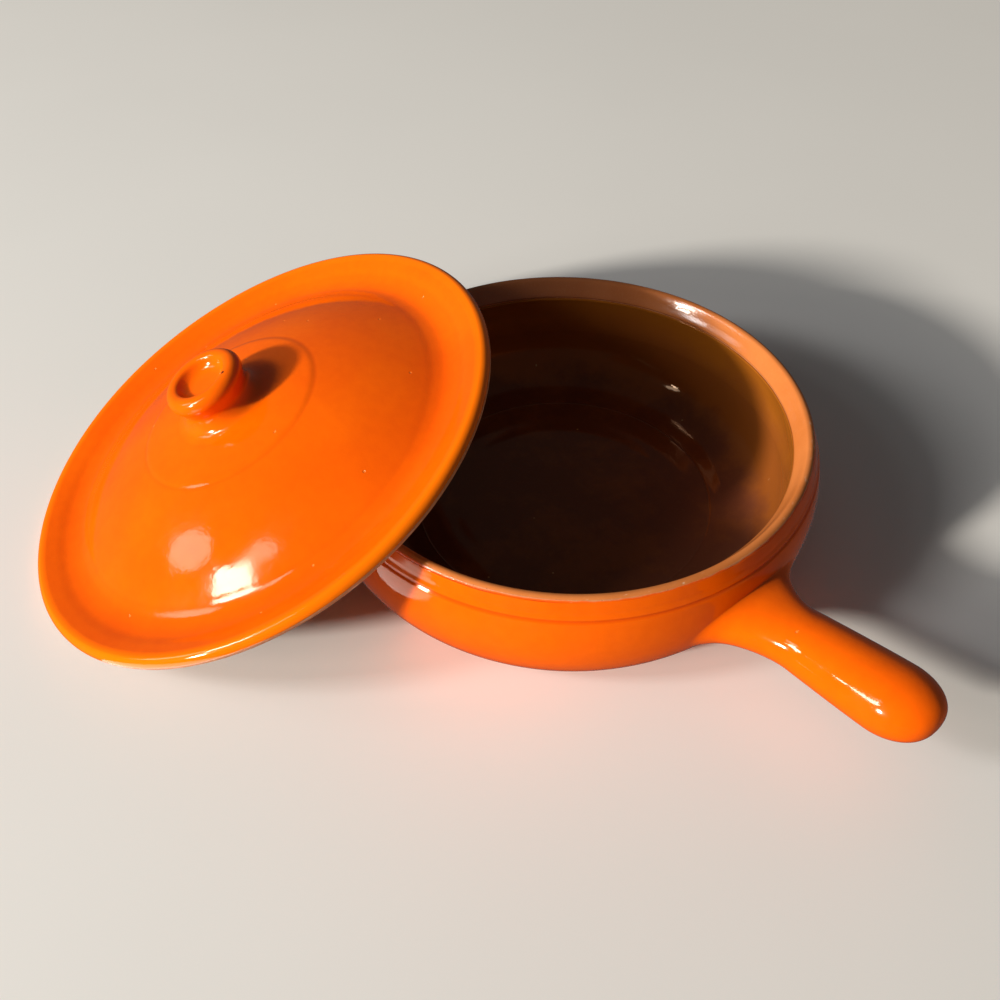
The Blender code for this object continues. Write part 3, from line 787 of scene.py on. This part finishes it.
# lengths in metres, angles in degrees, power in watts
FLOOR_HALF = 4.0
SUN_AZIMUTH, SUN_COLOUR = -99.0, (1.0, 0.93, 0.82)
WHITE, WINDOW_COLOUR, LOW_CARD_COLOUR = (1.0, 1.0, 1.0), (1.0, 0.98, 0.95), (1.0, 0.95, 0.90)
PANEL_ROLL = -30.0
LOW_CARD_PLACE, LOW_CARD_TURN = (-0.016, -0.252, 0.003), -7.0
SKY_COLOUR, SKY_LIGHT, SKY_SEEN = (1.0, 0.98, 0.96, 1.0), 0.065, 0.62


def towards(azimuth, elevation):
    """Unit vector to a point in the sky, in degrees from +X and above the table."""
    a, e = math.radians(azimuth), math.radians(elevation)
    return Vector((math.cos(a) * math.cos(e), math.sin(a) * math.cos(e), math.sin(e)))


def lamp_object(name, light, turn):
    """Puts a light into the scene, turned by a quaternion."""
    lamp = bpy.data.objects.new(name, light)
    lamp.rotation_mode = "QUATERNION"
    lamp.rotation_quaternion = turn
    bpy.context.scene.collection.objects.link(lamp)
    return lamp


def area_light(name, size, watts, colour, shape="ELLIPSE"):
    """A flat light, not yet placed."""
    light = bpy.data.lights.new(name, "AREA")
    light.shape = shape
    light.size, light.size_y = size
    light.energy = watts
    light.color = colour
    return light


def panel(light, azimuth, elevation, distance, roll=0.0):
    """Stands an area light so that it faces the object, turned on its own axis by roll degrees."""
    way = towards(azimuth, elevation)
    turn = (-way).to_track_quat("-Z", "Y") @ Quaternion((0.0, 0.0, 1.0), math.radians(roll))
    lamp = lamp_object(light.name, light, turn)
    lamp.location = (cad_box[0] + cad_box[1]) / 2 + way * distance
    return lamp


def pale_floor():
    """A large plain floor at the height of the foot; it doesn't show in reflections."""
    far = FLOOR_HALF
    points = [(-far, -far, 0.0), (far, -far, 0.0), (far, far, 0.0), (-far, far, 0.0)]
    mesh = bpy.data.meshes.new("floor")
    mesh.from_pydata(points, [], [(0, 1, 2, 3)])
    made, tree, shader = start_material("floor_look", Roughness=0.8, Specular_IOR_Level=0.0)
    shade = ramp(tree, noise(tree, object_place(tree), 3.0), 0.3, 0.7)
    colour = mix(tree, shade, (0.80, 0.80, 0.79), (0.82, 0.82, 0.81))
    tree.links.new(colour, shader.inputs["Base Color"])
    mesh.materials.append(made)
    floor = bpy.data.objects.new("floor", mesh)
    floor.visible_glossy = False
    bpy.context.scene.collection.objects.link(floor)


def sun(name, azimuth, elevation, angle, strength, colour):
    """A far, low sun; its angle in degrees softens the shadows."""
    light = bpy.data.lights.new(name, "SUN")
    light.angle = math.radians(angle)
    light.energy = strength
    light.color = colour
    lamp_object(name, light, (-towards(azimuth, elevation)).to_track_quat("-Z", "Y"))


pale_floor()
sun("low_sun", SUN_AZIMUTH, elevation=18.5, angle=5.0, strength=4.3, colour=SUN_COLOUR)

# a window and two pale cards, placed by the reflections in the photograph
window = area_light("window", (0.26, 0.40), 10.0, WINDOW_COLOUR, "RECTANGLE")
panel(window, azimuth=-110.3, elevation=32.9, distance=1.7, roll=PANEL_ROLL)
left_card = area_light("left_card", (0.31, 0.50), 1.7, WHITE)
panel(left_card, azimuth=-129.4, elevation=23.6, distance=1.8, roll=PANEL_ROLL)
right_card = area_light("right_card", (0.19, 0.30), 0.75, WHITE)
panel(right_card, azimuth=-112.2, elevation=44.6, distance=1.8, roll=PANEL_ROLL)

# a wide lamp in the sun's direction, which shows in no reflection
wide_light = area_light("soft_sun", (0.50, 0.40), 8.0, SUN_COLOUR)
soft_sun = panel(wide_light, SUN_AZIMUTH, elevation=21.0, distance=1.8)
soft_sun.visible_glossy = False

# a small flat lamp just above the floor, facing up, which shows only in reflections
flat_light = area_light("low_card", (0.085, 0.20), 0.11, LOW_CARD_COLOUR)
to_face_up = Matrix.Rotation(math.radians(LOW_CARD_TURN), 3, "Z") @ Matrix.Rotation(math.pi, 3, "X")
low_card = lamp_object("low_card", flat_light, to_face_up.to_quaternion())
low_card.location = LOW_CARD_PLACE
low_card.visible_camera = False
low_card.visible_diffuse = False

world = bpy.data.worlds.new("studio")
world.use_nodes = True
sky = world.node_tree.nodes["Background"]
sky.inputs["Color"].default_value = SKY_COLOUR
# the camera sees the sky brighter than the light that it gives
seen = node(world.node_tree, "ShaderNodeLightPath").outputs["Is Camera Ray"]
strength = ramp(world.node_tree, seen, 0.0, 1.0, SKY_LIGHT, SKY_SEEN)
world.node_tree.links.new(strength, sky.inputs["Strength"])
bpy.context.scene.world = world
bpy.context.scene.view_settings.view_transform = "Standard"

# the camera, fitted to outlines in the photograph
CAMERA_PLACE = Vector((0.26554, -0.26554, 0.38196))
CAMERA_RIGHT = Vector((0.6501, 0.7599, -0.0052))
CAMERA_UP = Vector((-0.5368, 0.4641, 0.7046))
CAMERA_LENS, CAMERA_SENSOR, CAMERA_NEAR = 38.9, 36.0, 0.02

camera = bpy.data.objects.new("camera", bpy.data.cameras.new("camera"))
camera.data.lens = CAMERA_LENS
camera.data.sensor_width = CAMERA_SENSOR
camera.data.clip_start = CAMERA_NEAR
right = CAMERA_RIGHT.normalized()
back = right.cross(CAMERA_UP).normalized()
facing = Matrix((right, back.cross(right), back)).transposed()
camera.matrix_world = Matrix.Translation(CAMERA_PLACE) @ facing.to_4x4()
bpy.context.scene.collection.objects.link(camera)
bpy.context.scene.camera = camera
